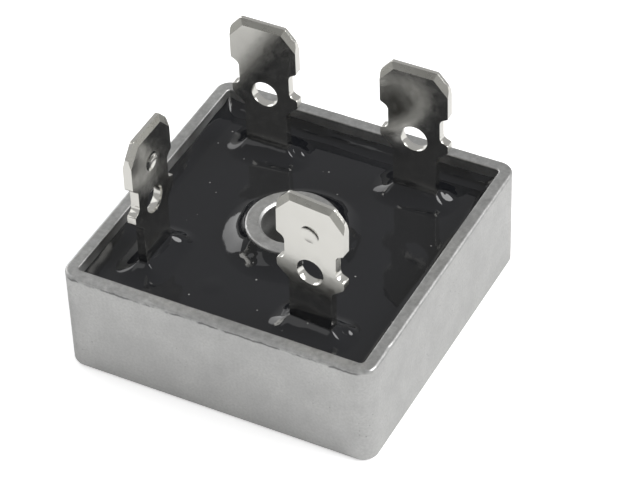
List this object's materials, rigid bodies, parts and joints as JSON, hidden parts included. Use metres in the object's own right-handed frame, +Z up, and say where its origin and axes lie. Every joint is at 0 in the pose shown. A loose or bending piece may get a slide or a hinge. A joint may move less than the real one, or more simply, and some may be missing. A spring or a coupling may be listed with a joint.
{
  "type": "bridge rectifier",
  "caption": "Square single-phase bridge rectifier: metal tray with a central screw post, filled with black epoxy, and upright quick-connect blades with wire holes.",
  "frame": {"origin": "centre of the flat metal base, on the axis of the screw post", "axes": "+Z up, along the screw post and the blades; X and Y parallel to the sides of the case; the turned plus terminal stands in the corner at -X -Y"},
  "size_m": [0.0286, 0.0286, 0.0221],
  "materials": {
    "case_metal": "matte, die-formed, finely pitted",
    "epoxy": "glossy black potting epoxy with hollow menisci",
    "tinned_copper": "bright tin plating on copper sheet",
    "insulator": "ceramic-filled insulating sheet",
    "silicon": "silicon die with metallised faces",
    "solder": "soft solder",
    "copper": "bare copper strap"
  },
  "bodies": {
    "root": {"case_shell": "case_metal", "potting_compound": "epoxy", "insulating_layer": "insulator", "terminal_plus": "tinned_copper", "terminal_minus": "tinned_copper", "terminal_ac_1": "tinned_copper", "terminal_ac_2": "tinned_copper", "jumper_ac_1": "copper", "jumper_ac_2": "copper", "solder_jumper_1": "solder", "solder_jumper_2": "solder", "diode_chip_1": "silicon", "solder_below_chip_1": "solder", "solder_above_chip_1": "solder", "diode_chip_2": "silicon", "solder_below_chip_2": "solder", "solder_above_chip_2": "solder", "diode_chip_3": "silicon", "solder_below_chip_3": "solder", "solder_above_chip_3": "solder", "diode_chip_4": "silicon", "solder_below_chip_4": "solder", "solder_above_chip_4": "solder"}
  },
  "joints": []
}
